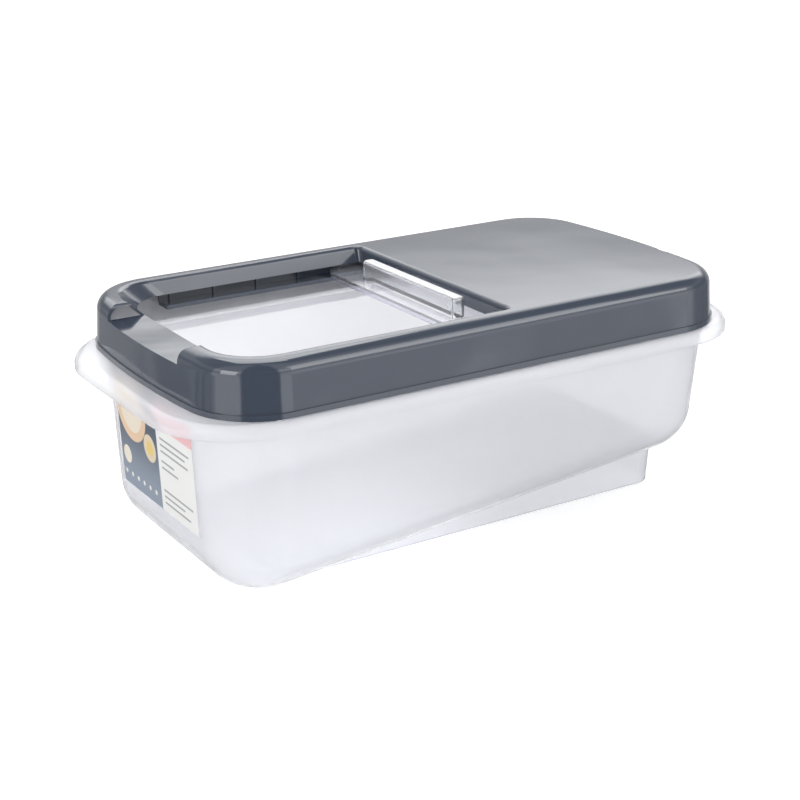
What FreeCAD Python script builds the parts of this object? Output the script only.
import FreeCAD, Part
import Sketcher
import os

# Food storage container: a translucent tub, a lid with a pouring window and a sliding door
# Millimetres. The origin is on the table under the middle of the flange.
# X runs along the tub, with the pouring end at -X. Y runs across it and Z is up.

SIZES = {
    # Tub, seen from above. The neck inside the lid and the flange's inside share its front and sides
    "neck_length": 306.8,
    "tub_width": 170.8,
    "tub_corner": 38.0,
    "tub_wall": 1.6,
    "rear_shoulder": 1.7,
    "flange_top": 98.7,
    # How far each wall leans in on its way down to the table, and the corners there
    "front_lean": 3.9,
    "rear_lean": 9.6,
    "side_lean": 7.6,
    "low_corner": 29.0,
    "bottom_round": 24.0,
    # The floor climbs to the rear from the rounding under the front wall
    "floor_angle": 5.5,
    # Room between the neck's rim and the inside of the lid's top
    "neck_room": 9.0,
    # Spare length on forms that are cut away
    "form_extra": 10.0,
    # Flange: how far it reaches past the lid, its corners, and its turned-down lip
    "end_ear": 12.6,
    "side_ear": 2.1,
    "flange_corner_step": 12.0,
    "flange_wall": 1.6,
    "flange_round": 5.5,
    "lip_depth": 7.6,
    # Hollow foot under the raised end of the floor, set in from the tub's walls
    "foot_front_step": 37.1,
    "foot_rear_step": 15.6,
    "foot_side_step": 21.4,
    "foot_corner": 12.0,
    "foot_wall": 1.6,
    "foot_lean": 1.8,
    # Lid, its heights measured from its own lower edge. The gaps are at the neck's rim
    "lid_gap": 0.3,
    "lid_end_gap": 3.575,
    "lid_side_gap": 0.575,
    "lid_bow": 7.8,
    "lid_height": 27.6,
    "lid_lean": 1.9,
    "lid_round": 7.5,
    "lid_wall": 1.8,
    "bead_height": 2.8,
    "bead_proud": 0.7,
    # Window in the front part of the lid, and the pouring notch in its front rim
    "front_rim": 15.7,
    "side_rim": 14.4,
    "window_slope": 9.0,
    "window_side_slope": 2.8,
    "window_corner": 25.0,
    "window_wall": 1.8,
    "window_round": 2.8,
    "notch_width": 84.0,
    "notch_depth": 8.0,
    # Door, and how far it laps under the window's edges
    "door_drop": 10.6,
    "door_side_lap": 3.8,
    "door_rear_lap": 7.0,
    "door_front_step": 22.0,
    "door_rear_step": 6.0,
    "door_plate": 1.8,
    "door_rim_depth": 3.6,
    "door_rim_wall": 1.6,
    "door_side_gap": 0.5,
    "door_end_gap": 1.0,
    "door_under_gap": 0.3,
    "door_over_gap": 1.9,
    # Rails that the door slides in
    "rail_room": 6.0,
    "rail_wall": 1.6,
    "square_corner": 3.0,
    "rear_ledge": 3.0,
    "ledge_plate": 2.2,
    "ledge_reach": 8.6,
    "rib_first": 5.6,
    "rib_pitch": 26.6,
    "rib_width": 1.5,
    "rib_proud": 1.0,
    "rib_bite": 0.5,
    # Pull bar on the door, and the room for fingers behind it
    "pull_setback": 8.5,
    "pull_length": 93.0,
    "pull_width": 7.5,
    "pull_height": 10.8,
    "pull_wall": 1.4,
    "pull_round": 2.6,
    "finger_gap": 7.0,
    # Label on the front wall, set in from the flange, the rounding below and the corners
    "label_paper": 0.2,
    "label_drop": 10.5,
    "label_rise": 3.7,
    "label_margin": 2.1,
    "label_shift": 2.0,
}

# Places and lengths that follow from the sizes, so that pieces which fit together change together
PLACES = {
    "tub_front": "sizes.neck_length / 2",
    "tub_rear": "sizes.neck_length / 2 + sizes.rear_shoulder",
    "neck_height": "sizes.lid_gap + sizes.lid_height - sizes.lid_wall - sizes.neck_room",
    "lid_side": "sizes.lid_wall + sizes.bead_proud"
                " + sizes.lid_lean * places.neck_height / sizes.lid_height",
    "lid_half_length": "sizes.neck_length / 2 + sizes.lid_end_gap + places.lid_side",
    "lid_half_width": "sizes.tub_width / 2 + sizes.lid_side_gap + places.lid_side",
    "flange_end": "places.lid_half_length + sizes.end_ear",
    "flange_half": "places.lid_half_width + sizes.side_ear",
    "flange_corner": "sizes.tub_corner + sizes.flange_corner_step",
    "foot_front": "places.tub_front - sizes.front_lean - sizes.foot_front_step",
    "foot_rear": "places.tub_rear - sizes.rear_lean - sizes.foot_rear_step",
    "foot_half": "sizes.tub_width / 2 - sizes.side_lean - sizes.foot_side_step",
    # The window and the open door share the lid's length, so the window's rear edge is halfway
    "window_front": "places.lid_half_length - sizes.front_rim",
    "window_half": "places.lid_half_width - sizes.side_rim",
    "channel_front": "places.window_front - sizes.window_slope",
    "rail_front": "places.channel_front - sizes.window_corner",
    "channel_rear": "sizes.neck_length / 2 - sizes.tub_wall - sizes.rail_room - sizes.rail_wall",
    "pull_room": "sizes.pull_setback + sizes.pull_width + sizes.finger_gap",
    "window_rear": "(places.channel_rear - places.channel_front - sizes.door_rear_lap"
                   " + places.pull_room) / 2",
    "door_front": "places.pull_room - places.window_rear",
    "door_rear": "places.channel_rear - sizes.door_end_gap",
    "door_half": "places.window_half + sizes.door_side_lap",
    "front_corner": "sizes.tub_corner - sizes.door_front_step",
    "rear_corner": "sizes.tub_corner - sizes.door_rear_step",
    "channel_half": "places.door_half + sizes.door_side_gap + sizes.rib_proud",
    "door_top": "sizes.lid_height - sizes.door_drop",
    "slot_top": "places.door_top + sizes.door_over_gap",
    "ledge_top": "places.door_top - sizes.door_rim_depth - sizes.door_under_gap",
    "notch_floor": "sizes.lid_height - sizes.notch_depth",
    "label_width": "sizes.tub_width - 2 * (sizes.tub_corner + sizes.label_margin)",
    "label_height": "sizes.flange_top - sizes.label_drop - sizes.bottom_round - sizes.label_rise",
}

doc = FreeCAD.newDocument("keeper")
sheet = doc.addObject("Spreadsheet::Sheet", "sizes")
for row, (alias, value) in enumerate(SIZES.items(), start=1):
    sheet.set("A%d" % row, alias)
    sheet.set("B%d" % row, str(value))
    sheet.setAlias("B%d" % row, alias)
doc.recompute()
places = doc.addObject("App::VarSet", "places")
for place, expression in PLACES.items():
    places.addProperty("App::PropertyFloat", place, "Places")
    places.setExpression(place, expression)
doc.recompute()


# Sketches and features

# A quarter turn in radians
QUARTER = FreeCAD.Vector(0, 1, 0).getAngle(FreeCAD.Vector(1, 0, 0))


def origin_plane(body, role):
    """One of the body's own origin planes."""
    for feature in body.Origin.OriginFeatures:
        if feature.Role == role:
            return feature
    raise ValueError(role)


def new_body(name):
    return doc.addObject("PartDesign::Body", name)


def new_sketch(body, name, role, height="0"):
    """A sketch on one of the body's planes, raised from it by a height."""
    sketch = body.newObject("Sketcher::SketchObject", name)
    sketch.AttachmentSupport = (origin_plane(body, role), [""])
    sketch.MapMode = "FlatFace"
    sketch.setExpression("AttachmentOffset.Base.z", height)
    return sketch


def take_inputs(sketch, inputs):
    """Give the sketch its own named numbers, each tied to the sheet."""
    for key, expression in inputs.items():
        sketch.addProperty("App::PropertyFloat", key, "Outline")
        sketch.setExpression(key, expression)
    doc.recompute()
    return [getattr(sketch, key) for key in inputs]


def fix_size(sketch, key, *constraint):
    """Add one sizing constraint and tie it to the sketch's own number."""
    index = sketch.addConstraint(Sketcher.Constraint(*constraint))
    name = "%s_%d" % (key, index)
    sketch.renameConstraint(index, name)
    sketch.setExpression("Constraints." + name, "%s.%s" % (sketch.Name, key))


def corner_arc(x, y, radius, quarter):
    """A quarter circle about x, y. Quarter 0 starts at +X and they run anticlockwise."""
    circle = Part.Circle(FreeCAD.Vector(x, y, 0), FreeCAD.Vector(0, 0, 1), radius)
    return Part.ArcOfCircle(circle, quarter * QUARTER, (quarter + 1) * QUARTER)


def line(x0, y0, x1, y1):
    return Part.LineSegment(FreeCAD.Vector(x0, y0, 0), FreeCAD.Vector(x1, y1, 0))


def rounded_outline(sketch, keys):
    """A rectangle with rounded corners, from -front to rear and half each side of X."""
    front, rear, half, front_corner, rear_corner = [getattr(sketch, key) for key in keys]
    first = sketch.GeometryCount
    sketch.addGeometry([
        line(-front + front_corner, -half, rear - rear_corner, -half),
        corner_arc(rear - rear_corner, -half + rear_corner, rear_corner, 3),
        line(rear, -half + rear_corner, rear, half - rear_corner),
        corner_arc(rear - rear_corner, half - rear_corner, rear_corner, 0),
        line(rear - rear_corner, half, -front + front_corner, half),
        corner_arc(-front + front_corner, half - front_corner, front_corner, 1),
        line(-front, half - front_corner, -front, -half + front_corner),
        corner_arc(-front + front_corner, -half + front_corner, front_corner, 2),
    ], False)
    near, near_rear, end, far_rear, far, far_front, nose, near_front = range(first, first + 8)
    for one, other in zip(range(first, first + 7), range(first + 1, first + 8)):
        sketch.addConstraint(Sketcher.Constraint("Tangent", one, 2, other, 1))
    sketch.addConstraint(Sketcher.Constraint("Tangent", near_front, 2, near, 1))
    sketch.addConstraint(Sketcher.Constraint("Horizontal", near))
    sketch.addConstraint(Sketcher.Constraint("Vertical", end))
    sketch.addConstraint(Sketcher.Constraint("Horizontal", far))
    sketch.addConstraint(Sketcher.Constraint("Vertical", nose))
    sketch.addConstraint(Sketcher.Constraint("Equal", near_rear, far_rear))
    sketch.addConstraint(Sketcher.Constraint("Equal", near_front, far_front))
    fix_size(sketch, keys[0], "DistanceX", nose, 1, -1, 1, front)
    fix_size(sketch, keys[1], "DistanceX", -1, 1, end, 1, rear)
    fix_size(sketch, keys[2], "DistanceY", near, 1, -1, 1, half)
    fix_size(sketch, keys[2], "DistanceY", -1, 1, far, 1, half)
    fix_size(sketch, keys[3], "Radius", near_front, front_corner)
    fix_size(sketch, keys[4], "Radius", near_rear, rear_corner)


def rounded_sketch(body, name, height, front, rear, half, front_corner, rear_corner=None):
    sketch = new_sketch(body, name, "XY_Plane", height)
    take_inputs(sketch, {
        "front": front, "rear": rear, "half": half,
        "front_corner": front_corner, "rear_corner": rear_corner or front_corner,
    })
    rounded_outline(sketch, ("front", "rear", "half", "front_corner", "rear_corner"))
    return sketch


def bowed_sketch(body, name, height, inset):
    """The lid's outline, drawn in by an inset: straight sides, and ends that bow out."""
    sketch = new_sketch(body, name, "XY_Plane", height)
    half, corner, end_radius, end_middle = take_inputs(sketch, {
        "half": "places.lid_half_width - (%s)" % inset,
        "corner": "sizes.tub_corner - (%s)" % inset,
        "end_radius": "(places.lid_half_width^2 + sizes.lid_bow^2) / (2 * sizes.lid_bow) - (%s)" % inset,
        "end_middle": "(places.lid_half_width^2 + sizes.lid_bow^2) / (2 * sizes.lid_bow)"
                      " - places.lid_half_length",
    })
    # Middle of the corner arc that meets an end's wide arc and a long side
    corner_y = half - corner
    corner_x = ((end_radius - corner) ** 2 - corner_y ** 2) ** 0.5 - end_middle
    lean = FreeCAD.Vector(corner_x + end_middle, corner_y, 0).getAngle(FreeCAD.Vector(1, 0, 0))

    def arc(x, y, radius, start, stop):
        circle = Part.Circle(FreeCAD.Vector(x, y, 0), FreeCAD.Vector(0, 0, 1), radius)
        return Part.ArcOfCircle(circle, start, stop)

    sketch.addGeometry([
        line(-corner_x, -half, corner_x, -half),
        arc(corner_x, -corner_y, corner, 3 * QUARTER, 4 * QUARTER - lean),
        arc(-end_middle, 0, end_radius, -lean, lean),
        arc(corner_x, corner_y, corner, lean, QUARTER),
        line(corner_x, half, -corner_x, half),
        arc(-corner_x, corner_y, corner, QUARTER, 2 * QUARTER - lean),
        arc(end_middle, 0, end_radius, 2 * QUARTER - lean, 2 * QUARTER + lean),
        arc(-corner_x, -corner_y, corner, 2 * QUARTER + lean, 3 * QUARTER),
    ], False)
    for one in range(8):
        sketch.addConstraint(Sketcher.Constraint("Tangent", one, 2, (one + 1) % 8, 1))
    sketch.addConstraint(Sketcher.Constraint("Horizontal", 0))
    sketch.addConstraint(Sketcher.Constraint("Horizontal", 4))
    for other in (3, 5, 7):
        sketch.addConstraint(Sketcher.Constraint("Equal", 1, other))
    fix_size(sketch, "corner", "Radius", 1, corner)
    fix_size(sketch, "half", "DistanceY", 0, 1, -1, 1, half)
    fix_size(sketch, "half", "DistanceY", -1, 1, 4, 1, half)
    for end in (2, 6):
        sketch.addConstraint(Sketcher.Constraint("PointOnObject", end, 3, -1))
        fix_size(sketch, "end_radius", "Radius", end, end_radius)
    fix_size(sketch, "end_middle", "DistanceX", 2, 3, -1, 1, end_middle)
    fix_size(sketch, "end_middle", "DistanceX", -1, 1, 6, 3, end_middle)
    return sketch


def loft(body, name, low, high):
    """Straight walls between a low and a high outline."""
    feature = body.newObject("PartDesign::AdditiveLoft", name)
    feature.Profile = low
    feature.Sections = [high]
    feature.Ruled = True
    doc.recompute()
    return feature


def pad(body, name, sketch, length):
    feature = body.newObject("PartDesign::Pad", name)
    feature.Profile = sketch
    feature.setExpression("Length", length)
    doc.recompute()
    return feature


def block(name, height, length, front, rear, half, front_corner, rear_corner=None):
    """An upright block with rounded corners, in a body of its own."""
    body = new_body(name)
    sketch = rounded_sketch(body, name + "_outline", height, front, rear, half, front_corner, rear_corner)
    pad(body, name + "_pad", sketch, length)
    return body


def round_edges(body, name, wanted, radius):
    """Fillet every edge of the body that wanted picks out."""
    tip = body.Tip
    chosen = ["Edge%d" % i for i, edge in enumerate(tip.Shape.Edges, start=1) if wanted(edge)]
    if not chosen:
        raise ValueError("no edge found for " + name)
    feature = body.newObject("PartDesign::Fillet", name)
    feature.Base = (tip, chosen)
    feature.setExpression("Radius", radius)
    doc.recompute()
    return feature


def cut(name, base, tools):
    feature = doc.addObject("Part::Cut", name)
    feature.Base = base
    feature.Tool = tools if not isinstance(tools, list) else fuse(name + "_tools", tools)
    doc.recompute()
    return feature


def fuse(name, pieces):
    feature = doc.addObject("Part::MultiFuse", name)
    feature.Shapes = pieces
    doc.recompute()
    return feature


def box(name, front, side, bottom, length, width, height):
    """A plain box from its lowest corner, each value an expression."""
    feature = doc.addObject("Part::Box", name)
    for key, expression in (("Length", length), ("Width", width), ("Height", height),
                            ("Placement.Base.x", front), ("Placement.Base.y", side),
                            ("Placement.Base.z", bottom)):
        feature.setExpression(key, expression)
    doc.recompute()
    return feature


def at_height(height):
    """Picks the edges that lie wholly at one height."""
    def wanted(edge):
        box_of_edge = edge.BoundBox
        return abs(box_of_edge.ZMin - height) < 1e-4 and abs(box_of_edge.ZMax - height) < 1e-4
    return wanted


# Tub: the outside and the hollow are each a tapered block with a sloping, rounded bottom

def lean_at(lean, depth):
    """How far a wall has leaned in at a depth below the flange."""
    return "sizes.%s * %s / sizes.flange_top" % (lean, depth)


# Middle of the rounding under the front wall, ahead of the origin. Its lowest point is on the table.
FRONT_LEAN = "atan(sizes.front_lean / sizes.flange_top)"
FLOOR_START = ("(places.tub_front - %s - sizes.bottom_round / cos(%s))"
               % (lean_at("front_lean", "(sizes.flange_top - sizes.bottom_round)"), FRONT_LEAN))


def floor_height(x, wall):
    """Height at x of the sloping floor, raised by a wall."""
    return ("(%s + %s) * tan(sizes.floor_angle) + sizes.bottom_round"
            " - (sizes.bottom_round - %s) / cos(sizes.floor_angle)" % (x, FLOOR_START, wall))


def tub_form(name, wall, drop):
    """The tub's tapered form, drawn in by a wall, with its floor raised by the same.

    It ends at a drop below the flange's top face.
    """
    depth = "(sizes.flange_top + sizes.form_extra)"
    body = new_body(name)
    low = rounded_sketch(
        body, name + "_low", "-sizes.form_extra",
        "places.tub_front - %s - %s" % (lean_at("front_lean", depth), wall),
        "places.tub_rear - %s - %s" % (lean_at("rear_lean", depth), wall),
        "sizes.tub_width / 2 - %s - %s" % (lean_at("side_lean", depth), wall),
        "sizes.low_corner - %s" % wall)
    high = rounded_sketch(
        body, name + "_high", "sizes.flange_top - %s" % drop,
        "places.tub_front - %s - %s" % (lean_at("front_lean", drop), wall),
        "places.tub_rear - %s - %s" % (lean_at("rear_lean", drop), wall),
        "sizes.tub_width / 2 - %s - %s" % (lean_at("side_lean", drop), wall),
        "sizes.tub_corner - %s" % wall)
    loft(body, name + "_walls", low, high)
    slope = new_sketch(body, name + "_slope", "XZ_Plane")
    front, rear, front_floor, rear_floor, under = take_inputs(slope, {
        "front": "places.tub_front + sizes.form_extra",
        "rear": "places.tub_rear + sizes.form_extra",
        "front_floor": floor_height("(-places.tub_front - sizes.form_extra)", wall),
        "rear_floor": floor_height("(places.tub_rear + sizes.form_extra)", wall),
        "under": "2 * sizes.form_extra",
    })
    corners = [(-front, front_floor), (rear, rear_floor), (rear, -under), (-front, -under)]
    for one in range(4):
        slope.addGeometry(line(*corners[one], *corners[(one + 1) % 4]), False)
    for one in range(4):
        slope.addConstraint(Sketcher.Constraint("Coincident", one, 2, (one + 1) % 4, 1))
    slope.addConstraint(Sketcher.Constraint("Vertical", 1))
    slope.addConstraint(Sketcher.Constraint("Horizontal", 2))
    slope.addConstraint(Sketcher.Constraint("Vertical", 3))
    fix_size(slope, "front", "DistanceX", 0, 1, -1, 1, front)
    fix_size(slope, "rear", "DistanceX", -1, 1, 1, 1, rear)
    fix_size(slope, "front_floor", "DistanceY", -1, 1, 0, 1, front_floor)
    fix_size(slope, "rear_floor", "DistanceY", -1, 1, 1, 1, rear_floor)
    fix_size(slope, "under", "DistanceY", 2, 1, -1, 1, under)
    wedge = body.newObject("PartDesign::Pocket", name + "_floor")
    wedge.Profile = slope
    wedge.Type = "ThroughAll"
    wedge.Midplane = True
    doc.recompute()
    rise = (rear_floor - front_floor) / (rear + front)

    def on_floor(edge):
        return all(abs(v.Z - front_floor - (v.X + front) * rise) < 1e-3 for v in edge.Vertexes)

    round_edges(body, name + "_round", on_floor, "sizes.bottom_round - %s" % wall)
    return body


def neck(body, name, wall, drop, over):
    """The upright neck, from a drop below the flange's top face up to its rim, and over."""
    outline = rounded_sketch(body, name + "_outline", "sizes.flange_top - %s" % drop,
                             "places.tub_front - %s" % wall, "places.tub_front - %s" % wall,
                             "sizes.tub_width / 2 - %s" % wall, "sizes.tub_corner - %s" % wall)
    pad(body, name, outline, "places.neck_height + %s + %s" % (drop, over))


tub_outer = tub_form("tub_outer", "0", "0")
neck(tub_outer, "neck", "0", "0", "0")


def flange_form(name, wall, over):
    """The flange as a solid block, drawn in by a wall and carried on below its lip."""
    body = block(name, "sizes.flange_top - sizes.lip_depth - %s" % over,
                 "sizes.lip_depth + %s - %s" % (over, wall),
                 "places.flange_end - %s" % wall, "places.flange_end - %s" % wall,
                 "places.flange_half - %s" % wall, "places.flange_corner - %s" % wall)
    round_edges(body, name + "_round", at_height(body.Shape.BoundBox.ZMax),
                "sizes.flange_round - %s" % wall)
    return body


flange = cut("flange", flange_form("flange_outer", "0", "0"),
             flange_form("flange_under", "sizes.flange_wall", "sizes.form_extra"))

FOOT_HEIGHT = floor_height("places.foot_rear", "sizes.tub_wall")


def foot_form(name, wall):
    """The foot as a solid block, leaning in towards the table, drawn in by its wall."""
    body = new_body(name)
    low = rounded_sketch(body, name + "_low", "0",
                         "places.foot_front - %s" % wall, "places.foot_rear - %s" % wall,
                         "places.foot_half - %s" % wall, "sizes.foot_corner - %s" % wall)
    high = rounded_sketch(body, name + "_high", FOOT_HEIGHT,
                          "places.foot_front + sizes.foot_lean - %s" % wall,
                          "places.foot_rear + sizes.foot_lean - %s" % wall,
                          "places.foot_half + sizes.foot_lean - %s" % wall,
                          "sizes.foot_corner + sizes.foot_lean - %s" % wall)
    loft(body, name + "_walls", low, high)
    return body


foot = cut("foot", foot_form("foot_outer", "0"), foot_form("foot_inner", "sizes.foot_wall"))

tub_hollow = tub_form("tub_hollow", "sizes.tub_wall", "sizes.flange_wall")
neck(tub_hollow, "mouth", "sizes.tub_wall", "sizes.flange_wall", "sizes.form_extra")
tub = cut("tub", fuse("tub_solid", [tub_outer, flange, foot]), tub_hollow)


# Lid, drawn from its own lower edge and then set on the flange

def lid_form(name, inset, height, radius):
    """The lid's leaning form, drawn in by an inset, with a rounded top edge."""
    body = new_body(name)
    pad(body, name + "_block", bowed_sketch(body, name + "_outline", "0", inset), height)
    upright = ["Face%d" % i for i, face in enumerate(body.Tip.Shape.Faces, start=1)
               if abs(face.normalAt(0, 0).z) < 0.5]
    lean = body.newObject("PartDesign::Draft", name + "_lean")
    lean.Base = (body.getObject(name + "_block"), upright)
    lean.NeutralPlane = (origin_plane(body, "XY_Plane"), [""])
    lean.setExpression("Angle", "atan(sizes.lid_lean / sizes.lid_height)")
    doc.recompute()
    round_edges(body, name + "_round", at_height(body.Tip.Shape.BoundBox.ZMax), radius)
    return body


lid_outer = lid_form("lid_outer", "sizes.bead_proud", "sizes.lid_height", "sizes.lid_round")
pad(lid_outer, "bead", bowed_sketch(lid_outer, "bead_outline", "0", "0"), "sizes.bead_height")
lid_hollow = lid_form("lid_hollow", "sizes.bead_proud + sizes.lid_wall",
                      "sizes.lid_height - sizes.lid_wall", "sizes.lid_round - sizes.lid_wall")

# The pouring lip is a bridge of the lid's own thickness across the notch
lip_bridge = box("lip_bridge", "-places.flange_end", "-sizes.notch_width / 2",
                 "places.notch_floor - sizes.lid_wall", "places.flange_end - places.channel_front",
                 "sizes.notch_width", "sizes.lid_height")
lid_shell = cut("lid_shell", lid_outer, cut("lid_under", lid_hollow, lip_bridge))

# Rails: a frame with a slot for the door's edges, open over the window and under the door.
# At the front it stops behind the window's corners, so that the slots are open at their ends.
rail_block = block("rail_block", "places.ledge_top - sizes.ledge_plate",
                   "places.slot_top - places.ledge_top + sizes.ledge_plate + sizes.rail_wall",
                   "places.rail_front", "places.channel_rear + sizes.rail_wall",
                   "places.channel_half + sizes.rail_wall",
                   "sizes.rail_wall / 2", "places.rear_corner + sizes.rail_wall")
channel = block("channel", "places.ledge_top", "places.slot_top - places.ledge_top",
                "places.channel_front", "places.channel_rear", "places.channel_half",
                "sizes.square_corner", "places.rear_corner")
ledge_opening = block("ledge_opening", "places.ledge_top - sizes.ledge_plate - sizes.form_extra",
                      "sizes.ledge_plate + sizes.form_extra + sizes.rail_wall",
                      "places.channel_front", "places.channel_rear - sizes.rear_ledge",
                      "places.door_half - sizes.ledge_reach",
                      "sizes.square_corner", "places.rear_corner - sizes.rear_ledge")
upper_opening = block("upper_opening", "places.slot_top - sizes.rail_wall",
                      "2 * sizes.rail_wall + sizes.form_extra",
                      "places.channel_front", "places.channel_rear - sizes.rear_ledge",
                      "places.window_half - sizes.window_side_slope", "sizes.window_corner",
                      "places.rear_corner - sizes.rear_ledge")
rail_frame = cut("rail_frame", rail_block, [channel, ledge_opening, upper_opening])

# Behind the window, walls hang the rails from the underside of the lid's top
hanger = cut("rail_hanger",
             block("hanger_outer", "places.slot_top",
                   "sizes.lid_height - sizes.lid_wall / 2 - places.slot_top",
                   "-places.window_rear", "places.channel_rear + sizes.rail_wall",
                   "places.channel_half + sizes.rail_wall",
                   "sizes.square_corner", "places.rear_corner + sizes.rail_wall"),
             block("hanger_inner", "places.slot_top - sizes.rail_wall", "sizes.lid_height",
                   "-places.window_rear + sizes.form_extra", "places.channel_rear",
                   "places.channel_half", "sizes.square_corner", "places.rear_corner"))


def window_form(name, wall):
    """The window's form down to the rails, widened by a wall. All but its rear leans in on the way."""
    body = new_body(name)
    loft(body, name + "_walls",
         rounded_sketch(body, name + "_low", "places.slot_top",
                        "places.channel_front + %s" % wall, "places.window_rear + %s" % wall,
                        "places.window_half - sizes.window_side_slope + %s" % wall,
                        "sizes.window_corner + %s" % wall, "sizes.square_corner"),
         rounded_sketch(body, name + "_high", "sizes.lid_height",
                        "places.window_front + %s" % wall, "places.window_rear + %s" % wall,
                        "places.window_half + %s" % wall,
                        "sizes.window_corner + %s" % wall, "sizes.square_corner"))
    return body


def flare(body, name, front, rear, half, edges):
    """Widen a cutting form above the lid's top face, with a rounded step down to the opening."""
    over = rounded_sketch(body, name + "_outline", "sizes.lid_height",
                          front + " + sizes.form_extra", rear + " + sizes.form_extra",
                          half + " + sizes.form_extra", "sizes.form_extra")
    pad(body, name, over, "sizes.form_extra")
    round_edges(body, name + "_round", edges, "sizes.window_round")


at_top = at_height(sheet.get("lid_height"))


def window_edge(edge):
    """The window's own edge at the lid's top face."""
    middle = edge.BoundBox.Center
    step = sheet.get("form_extra") / 2
    return (at_top(edge) and abs(middle.y) < places.window_half + step
            and -places.window_front - step < middle.x < places.window_rear + step)


def notch_edge(edge):
    """The notch's long edges at the lid's top face."""
    middle = edge.BoundBox.Center
    step = sheet.get("form_extra") / 2
    return (at_top(edge) and edge.BoundBox.XLength > step
            and abs(abs(middle.y) - sheet.get("notch_width") / 2) < step)


window_hole = window_form("window_hole", "0")
flare(window_hole, "window_over", "places.window_front", "places.window_rear", "places.window_half",
      window_edge)

notch = new_body("notch")
pad(notch, "notch_block",
    rounded_sketch(notch, "notch_outline", "places.notch_floor", "places.flange_end",
                   "-places.channel_front", "sizes.notch_width / 2", "sizes.square_corner"),
    "sizes.lid_height - places.notch_floor")
flare(notch, "notch_over", "places.flange_end", "-places.channel_front", "sizes.notch_width / 2",
      notch_edge)

# Upright ribs on the outer faces of both slots guide the door's edges
ribs = []
rib_run = places.rail_front + places.channel_rear - places.rear_corner
for number in range(int(rib_run // sheet.get("rib_pitch"))):
    for side, face in (("near", "-places.channel_half"), ("far", "places.channel_half - sizes.rib_proud")):
        ribs.append(box("rib_%s_%d" % (side, number),
                        "sizes.rib_first + %d * sizes.rib_pitch - places.rail_front" % number, face,
                        "places.ledge_top - sizes.rib_bite", "sizes.rib_width", "sizes.rib_proud",
                        "places.slot_top - places.ledge_top + 2 * sizes.rib_bite"))

window_block = window_form("window_block", "sizes.window_wall")
lid_solid = fuse("lid_solid", [lid_shell, rail_frame, hanger, window_block] + ribs)
lid = cut("lid", lid_solid, [window_hole, notch])


# Door: a plate with a turned-down rim and a hollow pull bar, in its open place

door_plate = block("door_plate", "places.door_top - sizes.door_rim_depth", "sizes.door_rim_depth",
                   "places.door_front", "places.door_rear", "places.door_half",
                   "places.front_corner", "places.rear_corner")
door_under = block("door_under", "places.door_top - sizes.door_rim_depth - sizes.form_extra",
                   "sizes.door_rim_depth - sizes.door_plate + sizes.form_extra",
                   "places.door_front - sizes.door_rim_wall", "places.door_rear - sizes.door_rim_wall",
                   "places.door_half - sizes.door_rim_wall",
                   "places.front_corner - sizes.door_rim_wall",
                   "places.rear_corner - sizes.door_rim_wall")
pull_outer = block("pull_outer", "places.door_top - sizes.door_plate",
                   "sizes.pull_height + sizes.door_plate",
                   "places.door_front - sizes.pull_setback",
                   "sizes.pull_setback + sizes.pull_width - places.door_front",
                   "sizes.pull_length / 2", "sizes.pull_round")
round_edges(pull_outer, "pull_top", at_height(places.door_top + sheet.get("pull_height")),
            "sizes.pull_round - sizes.pull_wall / 2")
pull_inner = block("pull_inner", "places.door_top - sizes.door_plate - sizes.form_extra",
                   "sizes.pull_height + sizes.door_plate + sizes.form_extra - sizes.pull_wall",
                   "places.door_front - sizes.pull_setback - sizes.pull_wall",
                   "sizes.pull_setback + sizes.pull_width - places.door_front - sizes.pull_wall",
                   "sizes.pull_length / 2 - sizes.pull_wall", "sizes.pull_round - sizes.pull_wall")
door = cut("door", fuse("door_solid", [door_plate, pull_outer]), [door_under, pull_inner])


# Label: a sheet of paper flat on the leaning front wall

LABEL_FOOT = "(sizes.flange_top - sizes.label_drop - places.label_height * cos(%s))" % FRONT_LEAN
label = box("label",
            "-places.tub_front - sizes.label_paper / cos(%s) + %s"
            % (FRONT_LEAN, lean_at("front_lean", "(sizes.flange_top - %s)" % LABEL_FOOT)),
            "sizes.label_shift - places.label_width / 2", LABEL_FOOT,
            "sizes.label_paper", "places.label_width", "places.label_height")
label.setExpression("Placement.Rotation.Angle", "-" + FRONT_LEAN)
label.Placement.Rotation.Axis = FreeCAD.Vector(0, 1, 0)


# Set the lid and its door in place on the flange

for piece in (lid, door):
    piece.setExpression("Placement.Base.z", "sizes.flange_top + sizes.lid_gap")
doc.recompute()


# Check every object, then write the pieces

PIECES = {"tub": tub, "lid": lid, "door": door, "label": label}
for thing in doc.Objects:
    for word in ("Invalid", "Error"):
        if word in thing.State:
            raise RuntimeError("%s is %s" % (thing.Name, thing.State))
for name, piece in PIECES.items():
    piece.Label = name
    if piece.Shape.isNull() or not piece.Shape.isValid():
        raise RuntimeError(name + " has no valid shape")
os.makedirs("parts", exist_ok=True)
for name, piece in PIECES.items():
    piece.Shape.exportStep("parts/%s.step" % name)
    print(name, "solids", len(piece.Shape.Solids), "volume", round(piece.Shape.Volume),
          "box", piece.Shape.BoundBox)
